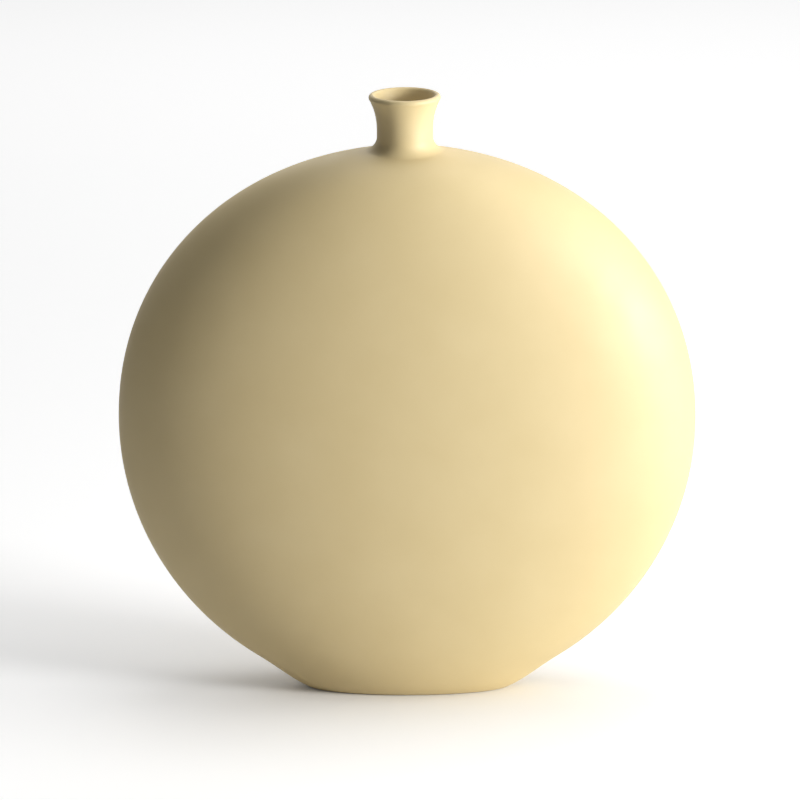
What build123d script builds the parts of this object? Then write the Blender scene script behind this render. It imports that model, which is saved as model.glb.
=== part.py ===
"""A flattened, round-shouldered stoneware flower vase with a short flared neck.

The pot is put together the way press-moulded flasks are: a front and a back half are luted rim
to rim on a flat base slab, and a thrown neck is set into the crown. Soft clay coils fill the
grooves along the joins, so the outside runs through without a step. All the pieces are cut from
one master form, so they meet face to face.

Millimetres, +Z up, X across the width, Y through the depth with the front at -Y.
The origin is on the table, under the middle of the foot.
"""

import math
import os

from build123d import *

# Body: horizontal sections are ellipses, and their half sizes follow rounded upright outlines
body_half_width = 144.0
body_half_depth = 48.0
belly_height = 139.6  # widest line above the table
crown_rise = 138.3  # widest line up to the crown
lower_overshoot = 4.4  # how far below the table the lower curve would close
crown_width_power = 2.08  # 2 is an ellipse, more is fuller
crown_depth_power = 3.0
lower_width_power = 2.0
lower_depth_power = 2.5
crown_stop_share = 0.9985  # the last section, just below the crown and inside the neck
lower_section_count = 9
crown_section_count = 10
oval_point_count = 12  # points that each section's smooth line runs through

# Foot: the lower curve spreads where the soft pot was set down on its base
foot_spread = 14.0
foot_spread_height = 18.0
foot_edge_radius = 5.0
foot_rim_width = 6.0
foot_hollow_depth = 3.0
base_thickness = 7.0

# Clay thickness
wall = 5.0
neck_wall = 3.2

# Neck: straight up from the crown to the waist, then flaring out to a round lip
stem_height = 9.7  # crown up to the waist
flare_height = 17.4  # waist up to the lip
waist_radius = 13.9
flare_radius = 32.0
throat_spread = 0.4  # how much the bore widens from the waist down
root_fillet_radius = 7.0

# Coils and the grooves that they fill
coil_depth = 2.6
seam_coil_width = 6.0
spigot_step = 0.8
neck_coil_margin = 3.0

# How far the cutting shapes run past the clay
overrun = 10.0

lower_drop = belly_height + lower_overshoot
crown_height = belly_height + crown_rise
waist_height = crown_height + stem_height
overall_height = waist_height + flare_height
neck_foot = crown_height - 2 * wall
bore_radius = waist_radius - neck_wall
lip_radius = neck_wall / 2
spigot_radius = waist_radius - spigot_step
neck_coil_radius = waist_radius + root_fillet_radius + neck_coil_margin
neck_coil_top = crown_height + root_fillet_radius
tool_half_width = body_half_width + overrun


def fullness(share, power):
    """Half size of a rounded outline at a share of its rise, as a share of the largest."""
    return (1 - share**power) ** (1 / power)


def section_sizes(height, inset):
    """Half width and half depth of the body at a height, with its skin moved in by an inset."""
    if height < belly_height:
        share = (belly_height - height) / (lower_drop - inset)
        width_power, depth_power = lower_width_power, lower_depth_power
    else:
        share = (height - belly_height) / (crown_rise - inset)
        width_power, depth_power = crown_width_power, crown_depth_power
    toe = foot_spread * max(0, 1 - height / foot_spread_height) ** 2
    half_width = (body_half_width - inset) * fullness(share, width_power) + toe
    half_depth = (body_half_depth - inset) * fullness(share, depth_power)
    return half_width, half_depth


def section_heights(bottom, inset):
    """Heights of the sections, closer together towards the foot and the crown."""
    lower_reach = math.asin((belly_height - bottom) / (lower_drop - inset))
    crown_reach = math.asin(crown_stop_share)
    heights = []
    for step in range(lower_section_count):
        turn = lower_reach * (1 - step / lower_section_count)
        heights.append(belly_height - (lower_drop - inset) * math.sin(turn))
    for step in range(crown_section_count + 1):
        turn = crown_reach * step / crown_section_count
        heights.append(belly_height + (crown_rise - inset) * math.sin(turn))
    return heights


def oval(half_width, half_depth):
    """Closed smooth line round one section, starting in the middle of the back."""
    points = []
    for step in range(oval_point_count):
        turn = 2 * math.pi * step / oval_point_count
        points.append((-half_width * math.sin(turn), half_depth * math.cos(turn)))
    return Edge.make_spline(points, periodic=True, parameters=range(oval_point_count + 1))


def body_form(bottom, inset):
    """Solid inside the body's skin from a height upwards, with the skin moved in by an inset."""
    with BuildPart() as form:
        for height in section_heights(bottom, inset):
            half_width, half_depth = section_sizes(height, inset)
            with BuildSketch(Plane.XY.offset(height)):
                with BuildLine():
                    add(oval(half_width, half_depth))
                make_face()
        loft()
    return form.part


outer_body = body_form(0, 0)
groove_floor = body_form(base_thickness, coil_depth)
hollow = body_form(base_thickness, wall)

# The flare's centre line is an arc that leaves the waist upright and ends in the lip's centre
flare_turn = math.asin((flare_height - lip_radius) / (flare_radius + lip_radius))


def flare_point(skin_radius, turn):
    """Point of an arc round the flare's centre, as a radius and a height."""
    out = waist_radius + flare_radius - skin_radius * math.cos(turn)
    return out, waist_height + skin_radius * math.sin(turn)


# Flare: the two skins of the neck above the waist, closed by the round lip
with BuildPart() as flare:
    with BuildSketch(Plane.XZ):
        with BuildLine():
            outer_skin = ThreePointArc(
                flare_point(flare_radius, 0),
                flare_point(flare_radius, flare_turn / 2),
                flare_point(flare_radius, flare_turn),
            )
            inner_skin = ThreePointArc(
                flare_point(flare_radius + neck_wall, 0),
                flare_point(flare_radius + neck_wall, flare_turn / 2),
                flare_point(flare_radius + neck_wall, flare_turn),
            )
            TangentArc(outer_skin @ 1, inner_skin @ 1, tangent=outer_skin % 1)
            Line(outer_skin @ 0, inner_skin @ 0)
        make_face()
    revolve(axis=Axis.Z)

# Cavity: the hollow between the walls, opened upwards by the bore
with BuildPart() as cavity:
    add(hollow)
    with BuildSketch(Plane.XY.offset(neck_foot)):
        Circle(bore_radius + throat_spread)
    with BuildSketch(Plane.XY.offset(waist_height)):
        Circle(bore_radius)
    loft()

# Master form: the whole pot in one, with the neck's root blended into the crown
with BuildPart() as master:
    add(outer_body)
    foot_edges = master.edges().group_by(Axis.Z)[0]
    fillet(foot_edges, foot_edge_radius)
    with BuildSketch(Plane.XY.offset(neck_foot)):
        Circle(waist_radius)
    extrude(amount=waist_height - neck_foot)
    root_edges = master.edges().filter_by(lambda edge: neck_foot < edge.center().Z < crown_height)
    fillet(root_edges, root_fillet_radius)
    add(cavity.part, mode=Mode.SUBTRACT)
    add(flare.part)
    with BuildSketch(Plane.XY):
        foot_half_width, foot_half_depth = section_sizes(0, 0)
        Ellipse(foot_half_width - foot_rim_width, foot_half_depth - foot_rim_width)
    extrude(amount=foot_hollow_depth, mode=Mode.SUBTRACT)

# Channel along the rim, between the groove floor and the outside
with BuildPart() as seam_channel:
    with BuildSketch(Plane.XY.offset(base_thickness)):
        Rectangle(2 * tool_half_width, seam_coil_width)
    extrude(amount=crown_height)
    add(groove_floor, mode=Mode.SUBTRACT)

# Channel round the neck's root, from the spigot out
with BuildPart() as neck_channel:
    with BuildSketch(Plane.XY.offset(neck_coil_top)):
        Circle(neck_coil_radius)
        Circle(spigot_radius, mode=Mode.SUBTRACT)
    extrude(amount=-(neck_coil_top - belly_height))
    add(groove_floor, mode=Mode.SUBTRACT)

# Space of the spigot that goes down through the crown
with BuildPart() as spigot_hole:
    with BuildSketch(Plane.XY.offset(belly_height)):
        Circle(spigot_radius)
    extrude(amount=overall_height)

# Front half: dished wall with half of each channel along its edges
with BuildPart() as front_half:
    add(master.part)
    split(bisect_by=Plane.XZ, keep=Keep.TOP)
    split(bisect_by=Plane.XY.offset(base_thickness), keep=Keep.TOP)
    add(seam_channel.part, mode=Mode.SUBTRACT)
    add(neck_channel.part, mode=Mode.SUBTRACT)
    add(spigot_hole.part, mode=Mode.SUBTRACT)
    split(bisect_by=Plane.XY.offset(neck_coil_top), keep=Keep.BOTTOM)

# Back half: the same wall, turned over
with BuildPart() as back_half:
    mirror(front_half.part, about=Plane.XZ)

# Coil along the rim, from the base up to the neck's coil on either side
with BuildPart() as seam_coil:
    add(master.part)
    add(seam_channel.part, mode=Mode.INTERSECT)
    with BuildSketch(Plane.XY.offset(belly_height)):
        Circle(neck_coil_radius)
    extrude(amount=overall_height, mode=Mode.SUBTRACT)

# Coil round the neck's root
with BuildPart() as neck_coil:
    add(master.part)
    add(neck_channel.part, mode=Mode.INTERSECT)

# Neck with its flared lip above the coil and its spigot inside it
with BuildPart() as neck:
    add(master.part)
    with BuildSketch(Plane.XY.offset(neck_coil_top)):
        Rectangle(2 * tool_half_width, 2 * tool_half_width)
        Circle(spigot_radius, mode=Mode.SUBTRACT)
    extrude(amount=-(neck_coil_top + overrun), mode=Mode.SUBTRACT)
    split(bisect_by=Plane.XY.offset(belly_height), keep=Keep.TOP)

# Base slab
with BuildPart() as base:
    add(master.part)
    split(bisect_by=Plane.XY.offset(base_thickness), keep=Keep.BOTTOM)

os.makedirs("parts", exist_ok=True)

front_half.part.label = "front_half"
export_step(front_half.part, "parts/front_half.step")

back_half.part.label = "back_half"
export_step(back_half.part, "parts/back_half.step")

seam_coil.part.label = "seam_coil"
export_step(seam_coil.part, "parts/seam_coil.step")

neck_coil.part.label = "neck_coil"
export_step(neck_coil.part, "parts/neck_coil.step")

neck.part.label = "neck"
export_step(neck.part, "parts/neck.step")

base.part.label = "base"
export_step(base.part, "parts/base.step")
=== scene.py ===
"""Looks of the pillow vase: the glazed skin of each clay piece, the bare foot, studio and camera.

Metres, +Z up, X across the width, the front at -Y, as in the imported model. All the clay pieces are
drawn on one set of stations round the pot, so neighbours share the points along their joins and
the glaze runs over the joins unbroken, as it does on the fired pot.
"""

import math

import bpy
import numpy as np
from mathutils import Matrix, Vector


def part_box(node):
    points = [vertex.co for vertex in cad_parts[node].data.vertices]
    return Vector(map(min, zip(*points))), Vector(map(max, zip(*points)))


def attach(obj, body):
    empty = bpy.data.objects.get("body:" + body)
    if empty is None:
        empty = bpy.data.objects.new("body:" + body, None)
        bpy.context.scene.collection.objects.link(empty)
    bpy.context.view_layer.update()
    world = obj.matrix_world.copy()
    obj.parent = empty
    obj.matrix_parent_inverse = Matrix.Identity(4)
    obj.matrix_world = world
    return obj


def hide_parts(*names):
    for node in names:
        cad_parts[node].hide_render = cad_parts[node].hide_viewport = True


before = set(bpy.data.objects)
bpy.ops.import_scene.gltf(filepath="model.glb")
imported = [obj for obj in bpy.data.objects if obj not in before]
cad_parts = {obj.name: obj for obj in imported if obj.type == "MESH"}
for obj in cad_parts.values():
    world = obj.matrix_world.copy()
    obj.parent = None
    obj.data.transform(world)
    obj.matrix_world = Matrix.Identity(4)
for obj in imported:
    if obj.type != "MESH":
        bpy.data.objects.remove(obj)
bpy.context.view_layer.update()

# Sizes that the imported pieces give
front_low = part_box("front_half")[0]
seam_low, seam_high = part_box("seam_coil")
coil_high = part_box("neck_coil")[1]
neck_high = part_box("neck")[1]
body_half_width = seam_high.x
body_half_depth = -front_low.y
seam_half_width = seam_high.y
base_thickness = seam_low.z
coil_radius = coil_high.x
coil_top = coil_high.z
overall_height = neck_high.z

# Body: horizontal sections are ellipses, and their half sizes follow rounded upright outlines
belly_height = 0.1396
crown_rise = 0.1383
lower_overshoot = 0.0044
crown_width_power = 2.08
crown_depth_power = 3.0
lower_width_power = 2.0
lower_depth_power = 2.5
lower_drop = belly_height + lower_overshoot
crown_height = belly_height + crown_rise

# Foot
foot_spread = 0.014
foot_spread_height = 0.018
foot_edge_radius = 0.005
foot_rim_width = 0.006
foot_hollow_depth = 0.003
foot_hollow_rounding = 0.0008
foot_hollow_bend = foot_hollow_rounding / 4  # how far a rounding's middle row stands off the corner

# Walls, coils and neck
wall = 0.005
neck_wall = 0.0032
coil_depth = 0.0026
spigot_step = 0.0008
root_fillet_radius = 0.007
flare_height = 0.0174
waist_radius = 0.0139
flare_radius = 0.032
throat_spread = 0.0004
waist_height = overall_height - flare_height
bore_radius = waist_radius - neck_wall
lip_radius = neck_wall / 2
spigot_radius = waist_radius - spigot_step

# Fineness of the meshes
half_columns = 96
seam_columns = 4
lower_rows = 40
crown_rows = 40
shoulder_rows = 12
collar_rows = 3
fillet_rows = 12
flare_rows = 16
lip_rows = 16
bore_rows = 6
foot_rows = 8
floor_rows = 6
shoulder_share = 0.885  # of the crown's rise: from here the rows close in on the neck
glaze_line = 2  # row of the rounded foot edge where the glaze begins
halvings = 48  # steps of each search by halving
weld = 1e-6  # points nearer than this are one
slope_step = 1e-6  # rise over which a slope is measured

# Stations round the pot: front half, right seam, back half, left seam
half_shares = np.linspace(-1, 1, half_columns + 1)[:-1]
seam_shares = np.linspace(-1, 1, seam_columns + 1)[:-1]
station_shares = np.tile(np.concatenate([half_shares, seam_shares]), 2)
on_seam = np.tile(np.repeat([False, True], [half_columns, seam_columns]), 2)
station_sides = np.repeat([1, -1], half_columns + seam_columns)
station_count = len(station_shares)


def fullness(share, power):
    """Half size of a rounded outline at a share of its rise, as a share of the largest."""
    return np.maximum(1 - share**power, 0) ** (1 / power)


def section_sizes(height, inset):
    """Half width and half depth of the body at heights, with its skin moved in by an inset."""
    below = height < belly_height
    drop = np.clip((belly_height - height) / (lower_drop - inset), 0, 1)
    rise = np.clip((height - belly_height) / (crown_rise - inset), 0, 1)
    width_share = np.where(below, fullness(drop, lower_width_power), fullness(rise, crown_width_power))
    depth_share = np.where(below, fullness(drop, lower_depth_power), fullness(rise, crown_depth_power))
    toe = foot_spread * np.maximum(0, 1 - height / foot_spread_height) ** 2
    return (body_half_width - inset) * width_share + toe, (body_half_depth - inset) * depth_share


def ring(half_width, half_depth):
    """Plan points of all the stations on an oval. The seams keep their width at every height."""
    turn = station_shares * np.arccos(seam_half_width / half_depth)
    seam_y = station_shares * seam_half_width
    x = np.where(on_seam, np.sqrt(1 - (seam_y / half_depth) ** 2), np.sin(turn)) * half_width
    y = np.where(on_seam, seam_y, -np.cos(turn) * half_depth)
    return np.column_stack([x, y]) * station_sides[:, None]


def at_height(plan, height):
    """Plan points lifted to a height, or each to its own."""
    return np.column_stack([plan, np.broadcast_to(height, len(plan))])


def on_crown(plan, inset):
    """Points of the crown's skin above plan points, found by halving."""
    low = np.full(len(plan), belly_height)
    high = np.full(len(plan), crown_height - inset)
    for _ in range(halvings):
        middle = (low + high) / 2
        half_width, half_depth = section_sizes(middle, inset)
        inside = (plan[:, 0] / half_width) ** 2 + (plan[:, 1] / half_depth) ** 2 < 1
        low = np.where(inside, middle, low)
        high = np.where(inside, high, middle)
    return at_height(plan, low)


def skin_normals(points, inset):
    """Outward directions of the body's skin at points on it."""
    x, y, z = np.moveaxis(points, -1, 0)
    half_width, half_depth = section_sizes(z, inset)
    width_above, depth_above = section_sizes(z + slope_step, inset)
    width_below, depth_below = section_sizes(z - slope_step, inset)
    width_slope = (width_above - width_below) / (2 * slope_step)
    depth_slope = (depth_above - depth_below) / (2 * slope_step)
    up = -(x**2 * width_slope / half_width**3 + y**2 * depth_slope / half_depth**3)
    normals = np.stack([x / half_width**2, y / half_depth**2, up], -1)
    return normals / np.linalg.norm(normals, axis=-1, keepdims=True)


def turned(start, end, share):
    """Directions part of the way along the arcs from one set of directions to another."""
    angle = np.arccos(np.clip(np.sum(start * end, -1, keepdims=True), -1, 1))
    return (np.sin((1 - share) * angle) * start + np.sin(share * angle) * end) / np.sin(angle)


def between(start, end, count):
    """Rows of points on straight lines between two rows, both included."""
    return np.array([start + (end - start) * share for share in np.linspace(0, 1, count + 1)])


# Heights of the level rows, closer together towards the foot and the shoulder
lower_turns = np.linspace(math.asin((belly_height - base_thickness) / lower_drop), 0, lower_rows + 1)
crown_turns = np.linspace(0, math.asin(shoulder_share), crown_rows + 1)
lower_heights = belly_height - lower_drop * np.sin(lower_turns)
crown_heights = belly_height + crown_rise * np.sin(crown_turns)
row_heights = np.concatenate([lower_heights[:-1], crown_heights])

coil_edge = ring(coil_radius, coil_radius)
directions = coil_edge / coil_radius


def skin(inset):
    """Rows of points on the body's skin, moved in by an inset, from the base up to the neck's coil."""
    level = [at_height(ring(*section_sizes(height, inset)), height) for height in row_heights]
    closing = between(level[-1][:, :2], coil_edge, shoulder_rows)[1:]
    return np.array(level + [on_crown(plan, inset) for plan in closing])


def collar(inset):
    """Rows of points on the crown's skin from the coil's edge in to the neck's spigot."""
    radii = np.linspace(coil_radius, spigot_radius, collar_rows + 1)
    return np.array([on_crown(directions * radius, inset) for radius in radii])


outer = skin(0)
outer_normals = skin_normals(outer, 0)
groove = skin(coil_depth)
groove_collar = collar(coil_depth)
hollow = np.concatenate([skin(wall), collar(wall)[1:]])
hollow_normals = skin_normals(hollow, wall)


class Shell:
    """Collects sheets of points into one closed mesh, welding the points that meet."""

    def __init__(self):
        self.points = []
        self.known = {}
        self.faces = []
        self.normals = []
        self.smooth = []
        self.materials = []

    def corner(self, point):
        key = tuple(np.rint(point / weld).astype(int))
        if key not in self.known:
            self.known[key] = len(self.points)
            self.points.append(tuple(point))
        return self.known[key]

    def sheet(self, points, normals=None, flip=False, closed=False, smooth=True, material=0):
        """Adds rows of points. Seen from outside, columns run to the right and rows upwards.

        The material is its number in the list that finish is given.
        """
        if normals is None:
            normals = np.zeros_like(points)
        if closed:
            points = np.concatenate([points, points[:, :1]], axis=1)
            normals = np.concatenate([normals, normals[:, :1]], axis=1)
        corners = [[self.corner(point) for point in row] for row in points]
        turn = -1 if flip else 1
        for row in range(len(points) - 1):
            for column in range(len(points[row]) - 1):
                places = [(row, column), (row, column + 1), (row + 1, column + 1), (row + 1, column)]
                face = {corners[r][c]: normals[r][c] for r, c in places[::turn]}
                if len(face) < 3:
                    continue
                self.faces.append(list(face))
                self.normals.extend(face.values())
                self.smooth.append(smooth)
                self.materials.append(material)

    def strip(self, start, end, flip=False, closed=False):
        """Adds the flat joint between two rows of points."""
        self.sheet(np.array([start, end]), flip=flip, closed=closed, smooth=False)

    def finish(self, name, *materials):
        """Makes the mesh object that stands for the CAD node of the same name."""
        mesh = bpy.data.meshes.new(name)
        mesh.from_pydata(self.points, [], self.faces)
        mesh.polygons.foreach_set("use_smooth", self.smooth)
        mesh.polygons.foreach_set("material_index", self.materials)
        for material in materials:
            mesh.materials.append(material)
        mesh.normals_split_custom_set([tuple(normal) for normal in self.normals])
        piece = bpy.data.objects.new(f"{name}_clay", mesh)
        bpy.context.scene.collection.objects.link(piece)
        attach(piece, "root")
        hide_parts(name)
        return piece


def stations(first, last):
    """Numbers of the stations from one to another, going round past the last one."""
    return np.arange(first, last + 1) % station_count


def noise(tree, coordinates, size, detail, roughness):
    """A noise texture whose grains are about as large as a size."""
    node = tree.nodes.new("ShaderNodeTexNoise")
    node.inputs["Scale"].default_value = 1 / size
    node.inputs["Detail"].default_value = detail
    node.inputs["Roughness"].default_value = roughness
    tree.links.new(coordinates, node.inputs["Vector"])
    return node.outputs["Fac"]


def ramp(tree, factor, *stops):
    """A colour ramp of (position, colour) stops."""
    node = tree.nodes.new("ShaderNodeValToRGB")
    elements = node.color_ramp.elements
    while len(elements) < len(stops):
        elements.new(1)
    for element, (position, colour) in zip(elements, stops):
        element.position = position
        element.color = (*colour, 1)
    tree.links.new(factor, node.inputs["Fac"])
    return node.outputs["Color"]


def grey(value):
    """A colour that is the same in red, green and blue."""
    return (value, value, value)


def bumped(tree, shader, *layers):
    """Raises the surface by (height, strength, distance) layers, the coarse ones first."""
    previous = None
    for height, strength, distance in layers:
        node = tree.nodes.new("ShaderNodeBump")
        node.inputs["Strength"].default_value = strength
        node.inputs["Distance"].default_value = distance
        tree.links.new(height, node.inputs["Height"])
        if previous:
            tree.links.new(previous, node.inputs["Normal"])
        previous = node.outputs["Normal"]
    tree.links.new(previous, shader.inputs["Normal"])


def new_material(name):
    """A node material: its tree, its main shader and the object's own coordinates."""
    material = bpy.data.materials.new(name)
    material.use_nodes = True
    tree = material.node_tree
    coordinates = tree.nodes.new("ShaderNodeTexCoord").outputs["Object"]
    return material, tree, tree.nodes["Principled BSDF"], coordinates


# Noise is turned into two tones between these values
noise_low, noise_high = 0.3, 0.7

# Glaze: smooth, matt and butter yellow, hardly clouded, with a fine dry tooth
glaze_thin = (0.756, 0.608, 0.322)
glaze_thick = (0.728, 0.580, 0.298)
glaze_smooth, glaze_dry = grey(0.55), grey(0.61)
glaze_ior = 1.65
cloud_size, cloud_detail, cloud_roughness = 0.035, 3, 0.5
pool_size, pool_detail, pool_roughness = 0.012, 2, 0.5
tooth_size, tooth_detail, tooth_roughness = 0.0006, 2, 0.6
pool_strength, pool_depth = 0.06, 0.0004
tooth_strength, tooth_depth = 0.08, 0.00005
glaze, tree, shader, coordinates = new_material("matt_glaze")
clouds = noise(tree, coordinates, cloud_size, cloud_detail, cloud_roughness)
pooling = noise(tree, coordinates, pool_size, pool_detail, pool_roughness)
tooth = noise(tree, coordinates, tooth_size, tooth_detail, tooth_roughness)
colour = ramp(tree, clouds, (noise_low, glaze_thick), (noise_high, glaze_thin))
gloss = ramp(tree, pooling, (noise_low, glaze_smooth), (noise_high, glaze_dry))
tree.links.new(colour, shader.inputs["Base Color"])
tree.links.new(gloss, shader.inputs["Roughness"])
shader.inputs["IOR"].default_value = glaze_ior
bumped(tree, shader, (pooling, pool_strength, pool_depth), (tooth, tooth_strength, tooth_depth))

# Bare clay under the foot: buff, dry, with darker grains
clay_pale = (0.58, 0.45, 0.31)
clay_dark = (0.46, 0.34, 0.22)
clay_smooth, clay_dry = grey(0.8), grey(0.92)
grain_size, grain_detail, grain_roughness = 0.0012, 4, 0.7
grain_low, grain_high = 0.35, 0.55
hump_size, hump_detail, hump_roughness = 0.012, 3, 0.5
grain_strength, grain_depth = 0.35, 0.0002
hump_strength, hump_depth = 0.15, 0.0005
clay, tree, shader, coordinates = new_material("bare_clay")
grains = noise(tree, coordinates, grain_size, grain_detail, grain_roughness)
humps = noise(tree, coordinates, hump_size, hump_detail, hump_roughness)
colour = ramp(tree, grains, (grain_low, clay_dark), (grain_high, clay_pale))
gloss = ramp(tree, humps, (noise_low, clay_smooth), (noise_high, clay_dry))
tree.links.new(colour, shader.inputs["Base Color"])
tree.links.new(gloss, shader.inputs["Roughness"])
bumped(tree, shader, (humps, hump_strength, hump_depth), (grains, grain_strength, grain_depth))

# Front and back half: glazed inside and out, with half a groove along the rim and round the neck
back_start = half_columns + seam_columns
half_seam = seam_columns // 2
for name, first in (("front_half", 0), ("back_half", back_start)):
    last = first + half_columns
    span = stations(first, last)
    full_span = stations(first - half_seam, last + half_seam)
    shell = Shell()
    shell.sheet(outer[:, span], outer_normals[:, span])
    shell.sheet(hollow[:, full_span], -hollow_normals[:, full_span], flip=True)
    for edge, lip, middle, flip in (
        (span[0], full_span[: half_seam + 1], full_span[0], False),
        (span[-1], full_span[-half_seam - 1 :], full_span[-1], True),
    ):
        shell.strip(outer[:, edge], groove[:, edge], flip=flip)
        shell.sheet(groove[:, lip], smooth=False)
        rim = np.concatenate([groove[:, middle], groove_collar[1:, middle]])
        shell.strip(rim, hollow[:, middle], flip=flip)
    shell.strip(outer[-1, span], groove[-1, span])
    shell.sheet(groove_collar[:, full_span], smooth=False)
    shell.strip(groove_collar[-1, full_span], hollow[-1, full_span])
    shell.strip(outer[0, span], groove[0, span], flip=True)
    shell.strip(groove[0, full_span], hollow[0, full_span], flip=True)
    shell.finish(name, glaze)

# Coil along the rim on either side
shell = Shell()
for first in (half_columns, back_start + half_columns):
    span = stations(first, first + seam_columns)
    shell.sheet(outer[:, span], outer_normals[:, span])
    shell.sheet(groove[:, span], flip=True, smooth=False)
    shell.strip(outer[:, span[0]], groove[:, span[0]])
    shell.strip(outer[:, span[-1]], groove[:, span[-1]], flip=True)
    shell.strip(outer[0, span], groove[0, span], flip=True)
    shell.strip(outer[-1, span], groove[-1, span])
shell.finish("seam_coil", glaze)

# The neck's root is rounded by a ball that rolls between the crown and the stem
near = np.full(station_count, waist_radius)
far = np.full(station_count, coil_radius)
for _ in range(halvings):
    touch_radius = (near + far) / 2
    touch = on_crown(directions * touch_radius[:, None], 0)
    touch_normals = skin_normals(touch, 0)
    ball = touch + touch_normals * root_fillet_radius
    ball_radius = np.hypot(ball[:, 0], ball[:, 1])
    inside = ball_radius < waist_radius + root_fillet_radius
    near = np.where(inside, touch_radius, near)
    far = np.where(inside, far, touch_radius)
stem_normals = at_height(ball[:, :2] / ball_radius[:, None], 0)

# Coil round the neck's root
collar_shares = np.linspace(0, 1, collar_rows + 1)
fillet_shares = np.linspace(0, 1, fillet_rows + 1)
ledge = np.array([
    on_crown(directions * (coil_radius + (touch_radius - coil_radius) * share)[:, None], 0)
    for share in collar_shares
])
root_normals = [turned(touch_normals, stem_normals, share) for share in fillet_shares]
root_rows = [ball - normals * root_fillet_radius for normals in root_normals]
stem_top = at_height(directions * waist_radius, coil_top)
spigot_top = at_height(directions * spigot_radius, coil_top)
shell = Shell()
shell.sheet(ledge, skin_normals(ledge, 0), closed=True)
shell.sheet(np.array(root_rows), np.array(root_normals), closed=True)
shell.sheet(
    np.array([root_rows[-1], stem_top]),
    np.array([stem_normals, at_height(directions, 0)]),
    closed=True,
)
shell.strip(stem_top, spigot_top, closed=True)
shell.strip(spigot_top, groove_collar[-1], closed=True)
shell.sheet(groove_collar[::-1], smooth=False, closed=True)
shell.strip(groove[-1], outer[-1], closed=True)
shell.finish("neck_coil", glaze)


def flare_point(skin_radius, turn):
    """Point of an arc round the flare's centre, as a radius and a height."""
    out = waist_radius + flare_radius - skin_radius * math.cos(turn)
    return out, waist_height + skin_radius * math.sin(turn)


# Neck: stem, flare, round lip, flare again inside and bore, as radii and heights with directions
flare_turn = math.asin((flare_height - lip_radius) / (flare_radius + lip_radius))
profile = [(waist_radius, coil_top, 1, 0)]
for turn in np.linspace(0, flare_turn, flare_rows + 1):
    profile.append((*flare_point(flare_radius, turn), math.cos(turn), -math.sin(turn)))
lip_out, lip_height = flare_point(flare_radius + lip_radius, flare_turn)
for turn in np.linspace(0, math.pi, lip_rows + 1)[1:-1]:
    out = math.cos(turn) * math.cos(flare_turn) + math.sin(turn) * math.sin(flare_turn)
    up = math.sin(turn) * math.cos(flare_turn) - math.cos(turn) * math.sin(flare_turn)
    profile.append((lip_out + lip_radius * out, lip_height + lip_radius * up, out, up))
for turn in np.linspace(flare_turn, 0, flare_rows + 1):
    profile.append((*flare_point(flare_radius + neck_wall, turn), -math.cos(turn), math.sin(turn)))
throat_edge = on_crown(directions * (bore_radius + throat_spread), wall)
spigot_end = on_crown(directions * spigot_radius, wall)
points = [at_height(directions * radius, height) for radius, height, out, up in profile]
normals = [at_height(directions * out, up) for radius, height, out, up in profile]
points.extend(between(points[-1], throat_edge, bore_rows)[1:])
normals.extend([normals[-1]] * bore_rows)
shell = Shell()
shell.sheet(np.array(points), np.array(normals), closed=True)
shell.strip(throat_edge, spigot_end, closed=True)
shell.strip(spigot_end, spigot_top, closed=True)
shell.strip(spigot_top, stem_top, closed=True)
shell.finish("neck", glaze)

# Base: the foot's edge is rounded by a ball inside the clay, between the table and the skin
low = np.zeros(station_count)
high = np.full(station_count, base_thickness)
down = np.broadcast_to([0.0, 0.0, -1.0], (station_count, 3))
for _ in range(halvings):
    touch_height = (low + high) / 2
    touch = at_height(ring(*section_sizes(touch_height, 0)), touch_height)
    touch_normals = skin_normals(touch, 0)
    ball = touch - touch_normals * foot_edge_radius
    inside = ball[:, 2] < foot_edge_radius
    low = np.where(inside, touch_height, low)
    high = np.where(inside, high, touch_height)
foot_shares = np.linspace(0, 1, foot_rows + 1)
foot_normals = np.array([turned(down, touch_normals, share) for share in foot_shares])
foot_edge = ball + foot_normals * foot_edge_radius
side_heights = [touch_height + (base_thickness - touch_height) * share for share in collar_shares]
side = np.array([at_height(ring(*section_sizes(height, 0)), height) for height in side_heights])
foot_half_width, foot_half_depth = section_sizes(np.zeros(1), 0)
hollow_half_width = foot_half_width - foot_rim_width
hollow_half_depth = foot_half_depth - foot_rim_width


def underside(margin, height):
    """A row under the foot, a margin outside the edge of its hollow."""
    return at_height(ring(hollow_half_width + margin, hollow_half_depth + margin), height)


centre = np.zeros((station_count, 2))
ceiling = underside(-foot_hollow_rounding, foot_hollow_depth)
underneath = [
    *between(at_height(centre, foot_hollow_depth), ceiling, floor_rows)[:-1],
    ceiling,
    underside(-foot_hollow_bend, foot_hollow_depth - foot_hollow_bend),
    underside(0, foot_hollow_depth - foot_hollow_rounding),
    underside(0, foot_hollow_rounding),
    underside(foot_hollow_bend, foot_hollow_bend),
    underside(foot_hollow_rounding, 0),
    foot_edge[0],
]
slab_top = between(side[-1], at_height(centre, base_thickness), floor_rows)
bare_edge = slice(glaze_line + 1)
glazed_edge = slice(glaze_line, None)
shell = Shell()
shell.sheet(np.array(underneath), closed=True, material=1)
shell.sheet(foot_edge[bare_edge], foot_normals[bare_edge], closed=True, material=1)
shell.sheet(foot_edge[glazed_edge], foot_normals[glazed_edge], closed=True)
shell.sheet(side, skin_normals(side, 0), closed=True)
shell.sheet(slab_top, closed=True, smooth=False)
shell.finish("base", glaze, clay)

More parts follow.
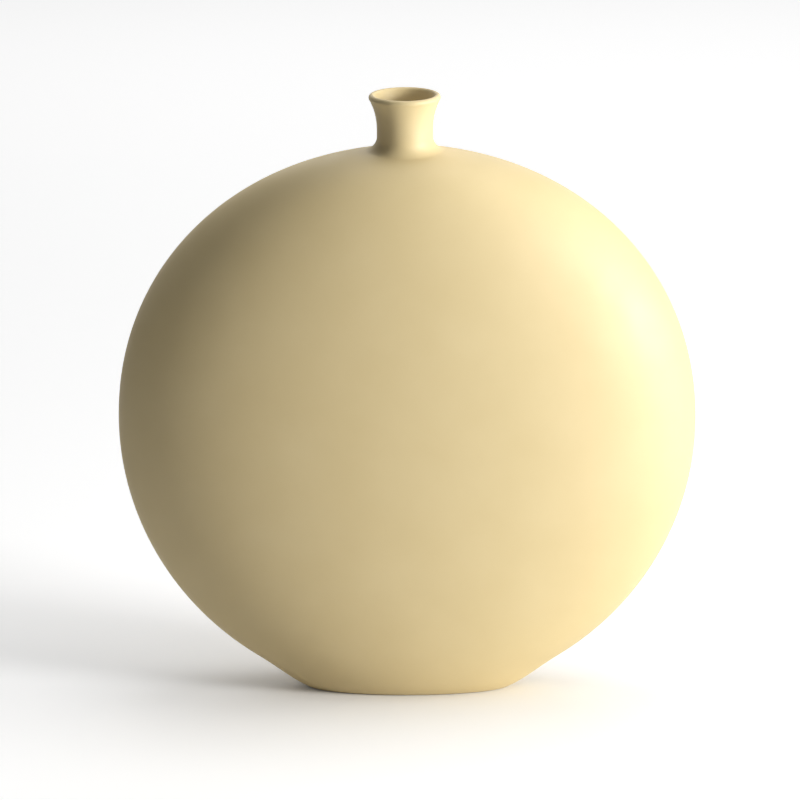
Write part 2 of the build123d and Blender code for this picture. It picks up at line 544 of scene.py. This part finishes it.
# Studio: how white the floor and the world are where they are seen, and how they light the pot
floor_half = 6.0
floor_drop = 0.0001  # below the foot, so that the two don't share a plane
floor_grey = 0.9
floor_roughness = 0.9
near_lift, far_lift = 0.42, 0.75  # painted light: the floor's own glow where it is seen
near_reach, far_reach = 0.5, 3.0  # distances from the pot between which the painted floor light rises
painted_shadow_reach = 0.2  # how near the pot has to be to take the glow away from the floor, a painted shadow round the pot
world_white = 0.95
world_fill = 0.01


def shown_or_not(tree, shown, unshown):
    """One value for rays that show the background, to the camera or in gloss, or another."""
    path = tree.nodes.new("ShaderNodeLightPath")
    rays = path.outputs["Is Camera Ray"]
    for name in ("Is Glossy Ray", "Is Transmission Ray"):
        either = tree.nodes.new("ShaderNodeMath")
        either.operation = "MAXIMUM"
        tree.links.new(rays, either.inputs[0])
        tree.links.new(path.outputs[name], either.inputs[1])
        rays = either.outputs[0]
    choice = tree.nodes.new("ShaderNodeMapRange")
    choice.inputs["To Min"].default_value = unshown
    choice.inputs["To Max"].default_value = shown
    tree.links.new(rays, choice.inputs["Value"])
    return choice.outputs["Result"]


def product(tree, first, second):
    """The product of two sockets."""
    node = tree.nodes.new("ShaderNodeMath")
    node.operation = "MULTIPLY"
    tree.links.new(first, node.inputs[0])
    tree.links.new(second, node.inputs[1])
    return node.outputs[0]


# Floor
corners = [
    (-floor_half, -floor_half, -floor_drop),
    (floor_half, -floor_half, -floor_drop),
    (floor_half, floor_half, -floor_drop),
    (-floor_half, floor_half, -floor_drop),
]
mesh = bpy.data.meshes.new("floor")
mesh.from_pydata(corners, [], [(0, 1, 2, 3)])
floor = bpy.data.objects.new("floor", mesh)
bpy.context.scene.collection.objects.link(floor)
floor_material, tree, shader, coordinates = new_material("pale_floor")
shader.inputs["Base Color"].default_value = (*grey(floor_grey), 1)
shader.inputs["Roughness"].default_value = floor_roughness
shader.inputs["Specular IOR Level"].default_value = 0
shader.inputs["Emission Color"].default_value = (1, 1, 1, 1)
# The floor's glow is cut by ambient occlusion near the pot, a painted shadow round the foot, and rises
# with distance, painted light on the far floor
painted_shadow = tree.nodes.new("ShaderNodeAmbientOcclusion")
painted_shadow.inputs["Distance"].default_value = painted_shadow_reach
reach = tree.nodes.new("ShaderNodeVectorMath")
reach.operation = "LENGTH"
tree.links.new(coordinates, reach.inputs[0])
lift = tree.nodes.new("ShaderNodeMapRange")
lift.interpolation_type = "SMOOTHSTEP"
lift.inputs["From Min"].default_value = near_reach
lift.inputs["From Max"].default_value = far_reach
lift.inputs["To Min"].default_value = near_lift
lift.inputs["To Max"].default_value = far_lift
tree.links.new(reach.outputs["Value"], lift.inputs["Value"])
glow_with_painted_shadow = product(tree, lift.outputs["Result"], painted_shadow.outputs["AO"])
seen_lift = product(tree, glow_with_painted_shadow, shown_or_not(tree, 1, 0))
tree.links.new(seen_lift, shader.inputs["Emission Strength"])
mesh.materials.append(floor_material)

# World: white where it is seen, a very weak even fill on the pot
world = bpy.data.worlds.new("studio")
bpy.context.scene.world = world
world.use_nodes = True
tree = world.node_tree
background = tree.nodes["Background"]
background.inputs["Color"].default_value = (1, 1, 1, 1)
tree.links.new(shown_or_not(tree, world_white, world_fill), background.inputs["Strength"])

# Lamps: they face the middle of the pot, and the camera doesn't see them
aim = Vector((0, 0, overall_height / 2))


def soft_lamp(name, azimuth, elevation, distance, size, power):
    """A square lamp that faces the pot. Azimuth 0 is in front of it and 90 on its right."""
    lamp = bpy.data.lights.new(name, "AREA")
    lamp.shape = "SQUARE"
    lamp.size = size
    lamp.energy = power
    turn, tilt = math.radians(azimuth), math.radians(elevation)
    level = math.cos(tilt)
    away = Vector((math.sin(turn) * level, -math.cos(turn) * level, math.sin(tilt)))
    holder = bpy.data.objects.new(name, lamp)
    holder.location = aim + away * distance
    holder.rotation_mode = "QUATERNION"
    holder.rotation_quaternion = away.to_track_quat("Z", "Y")
    holder.visible_camera = False
    bpy.context.scene.collection.objects.link(holder)


soft_lamp("key", azimuth=64, elevation=10, distance=2.0, size=0.55, power=47)
soft_lamp("top", azimuth=88, elevation=50, distance=1.6, size=1.2, power=8)
soft_lamp("overhead", azimuth=175, elevation=78, distance=1.6, size=0.8, power=6.5)
soft_lamp("back", azimuth=178, elevation=30, distance=1.8, size=1.2, power=5)

# Camera, fitted to the photo's outline of the pot
camera_distance = 3.5
camera_height = 1.071
camera_azimuth = math.radians(1.10)  # from the front towards the right
camera_pan = math.radians(0.055)
camera_tilt = math.radians(14.76)
camera_roll = math.radians(-0.404)
camera_sensor = 36.0  # millimetres, as is the lens
camera_lens = 326.4
camera_clip = 100.0
camera = bpy.data.objects.new("camera", bpy.data.cameras.new("camera"))
camera.data.sensor_width = camera_sensor
camera.data.lens = camera_lens
camera.data.clip_end = camera_clip
camera_place = Vector((
    camera_distance * math.sin(camera_azimuth),
    -camera_distance * math.cos(camera_azimuth),
    camera_height,
))
camera.matrix_world = (
    Matrix.Translation(camera_place)
    @ Matrix.Rotation(camera_azimuth + camera_pan, 4, "Z")
    @ Matrix.Rotation(math.pi / 2 - camera_tilt, 4, "X")
    @ Matrix.Rotation(camera_roll, 4, "Z")
)
bpy.context.scene.collection.objects.link(camera)
bpy.context.scene.camera = camera
bpy.context.scene.view_settings.view_transform = "Standard"
